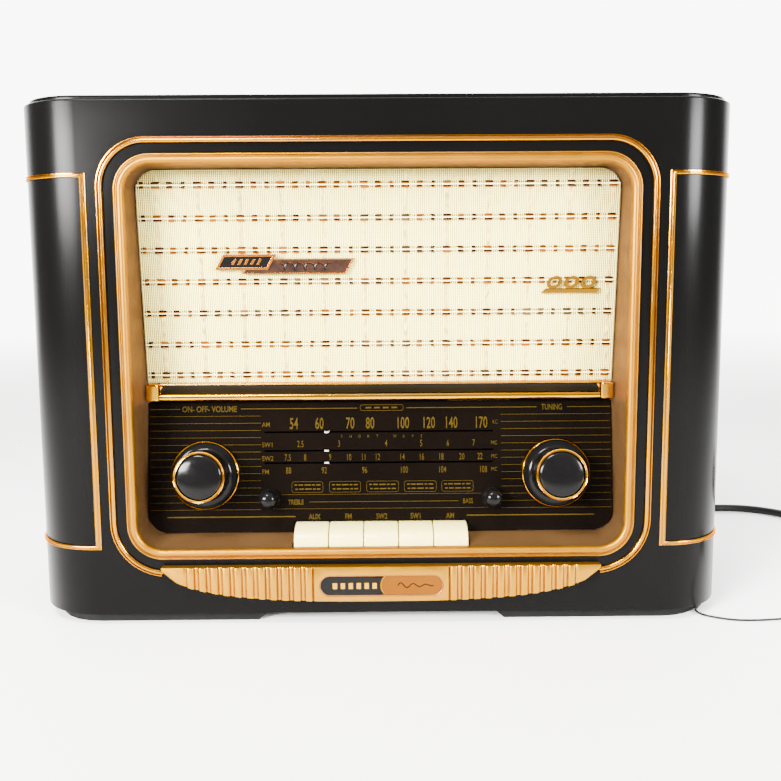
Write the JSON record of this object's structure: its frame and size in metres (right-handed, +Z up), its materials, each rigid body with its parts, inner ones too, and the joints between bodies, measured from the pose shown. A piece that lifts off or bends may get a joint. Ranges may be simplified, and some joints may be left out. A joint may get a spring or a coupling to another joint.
{
  "type": "table radio",
  "caption": "Horizontal 1950s style table radio: black cabinet with bent corners, gold bezel round a speaker cloth and dial, large and small knobs, piano keys, mains lead and aerial wire.",
  "frame": {"origin": "on the surface it stands on, under the middle of the cabinet", "axes": "+X along the cabinet to the right as seen from the front, +Y from the front to the back, +Z up"},
  "size_m": [0.6514, 0.2765, 0.2905],
  "materials": {
    "black_lacquer": "satin black lacquer on bent plywood, finely rubbed",
    "satin_gold": "satin gold plating, softly brushed",
    "bright_gold": "polished gold plating",
    "copper": "copper-coloured plating with a dark patina",
    "dial_glass": "smooth near-black dial face with gold print",
    "knob_black": "polished black",
    "ivory": "ivory, softly glossy",
    "speaker_cloth": "woven cream cloth with brown and orange dashes",
    "dial_string": "waxed braided string",
    "fibre_board": "bare hardboard",
    "back_plastic": "moulded black, fine texture",
    "rubber_black": "matt black",
    "steel": "plated steel",
    "phenolic": "brown phenolic",
    "pointer_white": "white paint"
  },
  "bodies": {
    "cabinet": {"cabinet_wrap": "black_lacquer", "cabinet_top": "black_lacquer", "cabinet_base": "black_lacquer", "rear_cover": "back_plastic", "socket_strip": "back_plastic", "aerial_terminal": "back_plastic", "foot_front_left": "rubber_black", "foot_front_right": "rubber_black", "foot_rear_left": "rubber_black", "foot_rear_right": "rubber_black", "bezel": "satin_gold", "outer_bead": "satin_gold", "inlay_left": "satin_gold", "inlay_right": "satin_gold", "fluted_plate": "satin_gold", "bar_end_left": "satin_gold", "bar_end_right": "satin_gold", "badge_plate": "copper", "ornament_left": "copper", "speaker_cloth": "speaker_cloth", "baffle_board": "fibre_board", "ornament_right": "bright_gold", "divider_bar": "bright_gold", "speaker_left": "steel", "speaker_right": "steel", "dial_panel": "dial_glass", "dial_backing": "dial_glass", "key_switch_bank": "steel", "volume_control": "steel", "tone_controls": "steel", "pointer_rail": "steel", "capacitor_frame": "steel", "chassis": "steel", "mains_transformer": "steel", "dial_cord": "dial_string", "circuit_board": "phenolic", "strain_relief": "rubber_black", "mains_cord": "rubber_black", "mains_coil": "rubber_black", "mains_plug": "rubber_black", "aerial_wire": "rubber_black", "aerial_coil": "rubber_black"},
    "volume_knob": {"volume_knob_skirt": "knob_black", "volume_knob_rim": "bright_gold", "volume_knob_cap": "knob_black"},
    "tuning_knob": {"tuning_knob_skirt": "knob_black", "tuning_knob_rim": "bright_gold", "tuning_knob_cap": "knob_black"},
    "treble_knob": {"treble_knob": "knob_black"},
    "bass_knob": {"bass_knob": "knob_black"},
    "pointer": {"pointer": "pointer_white"},
    "tuning_drum": {"tuning_drum": "phenolic", "capacitor_rotor": "steel"},
    "pulley_left": {"pulley_left": "steel"},
    "pulley_right": {"pulley_right": "steel"},
    "key_aux": {"key_aux": "ivory"},
    "key_fm": {"key_fm": "ivory"},
    "key_sw2": {"key_sw2": "ivory"},
    "key_sw1": {"key_sw1": "ivory"},
    "key_am": {"key_am": "ivory"}
  },
  "joints": [
    {"name": "volume_turn", "type": "hinge", "parent": "cabinet", "child": "volume_knob", "pos_m": [-0.10085, -0.06621, 0.08117], "axis": [0, 0.9877, -0.1564], "range_deg": [0, 300]},
    {"name": "tuning_turn", "type": "hinge", "parent": "cabinet", "child": "tuning_knob", "pos_m": [0.10085, -0.06621, 0.08117], "axis": [0, 0.9877, -0.1564], "range_deg": [-267, 1145]},
    {"name": "treble_turn", "type": "hinge", "parent": "cabinet", "child": "treble_knob", "pos_m": [-0.064, -0.06838, 0.06749], "axis": [0, 0.9877, -0.1564], "range_deg": [-140, 140]},
    {"name": "bass_turn", "type": "hinge", "parent": "cabinet", "child": "bass_knob", "pos_m": [0.064, -0.06838, 0.06749], "axis": [0, 0.9877, -0.1564], "range_deg": [-140, 140]},
    {"name": "pointer_slide", "type": "slide", "parent": "cabinet", "child": "pointer", "axis": [1, 0, 0], "range_m": [-0.021, 0.09]},
    {"name": "drum_turn", "type": "hinge", "parent": "cabinet", "child": "tuning_drum", "pos_m": [0.06, -0.03449, 0.08966], "axis": [0, 0.9877, -0.1564], "range_deg": [-34.4, 147.3]},
    {"name": "pulley_left_turn", "type": "hinge", "parent": "cabinet", "child": "pulley_left", "pos_m": [-0.092, -0.04673, 0.11083], "axis": [0, 0.9877, -0.1564], "range_deg": [-204, 874]},
    {"name": "pulley_right_turn", "type": "hinge", "parent": "cabinet", "child": "pulley_right", "pos_m": [0.092, -0.04673, 0.11083], "axis": [0, 0.9877, -0.1564], "range_deg": [-204, 874]},
    {"name": "key_aux_press", "type": "hinge", "parent": "cabinet", "child": "key_aux", "pos_m": [-0.0394, -0.027, 0.05], "axis": [1, 0, 0], "range_deg": [0, 3.4], "stiffness_Nm_per_rad": 0.5, "springref_deg": -3.44},
    {"name": "key_fm_press", "type": "hinge", "parent": "cabinet", "child": "key_fm", "pos_m": [-0.0197, -0.027, 0.05], "axis": [1, 0, 0], "range_deg": [0, 3.4], "stiffness_Nm_per_rad": 0.5, "springref_deg": -3.44},
    {"name": "key_sw2_press", "type": "hinge", "parent": "cabinet", "child": "key_sw2", "pos_m": [0, -0.027, 0.05], "axis": [1, 0, 0], "range_deg": [0, 3.4], "stiffness_Nm_per_rad": 0.5, "springref_deg": -3.44},
    {"name": "key_sw1_press", "type": "hinge", "parent": "cabinet", "child": "key_sw1", "pos_m": [0.0197, -0.027, 0.05], "axis": [1, 0, 0], "range_deg": [0, 3.4], "stiffness_Nm_per_rad": 0.5, "springref_deg": -3.44},
    {"name": "key_am_press", "type": "hinge", "parent": "cabinet", "child": "key_am", "pos_m": [0.0394, -0.027, 0.05], "axis": [1, 0, 0], "range_deg": [0, 3.4], "stiffness_Nm_per_rad": 0.5, "springref_deg": -3.44}
  ],
  "couplings": [
    {"joint": "pointer_slide", "follows": "tuning_turn", "m_per_rad": 0.0045},
    {"joint": "drum_turn", "follows": "tuning_turn", "ratio": 0.12857},
    {"joint": "pulley_left_turn", "follows": "tuning_turn", "ratio": 0.76271},
    {"joint": "pulley_right_turn", "follows": "tuning_turn", "ratio": 0.76271}
  ]
}
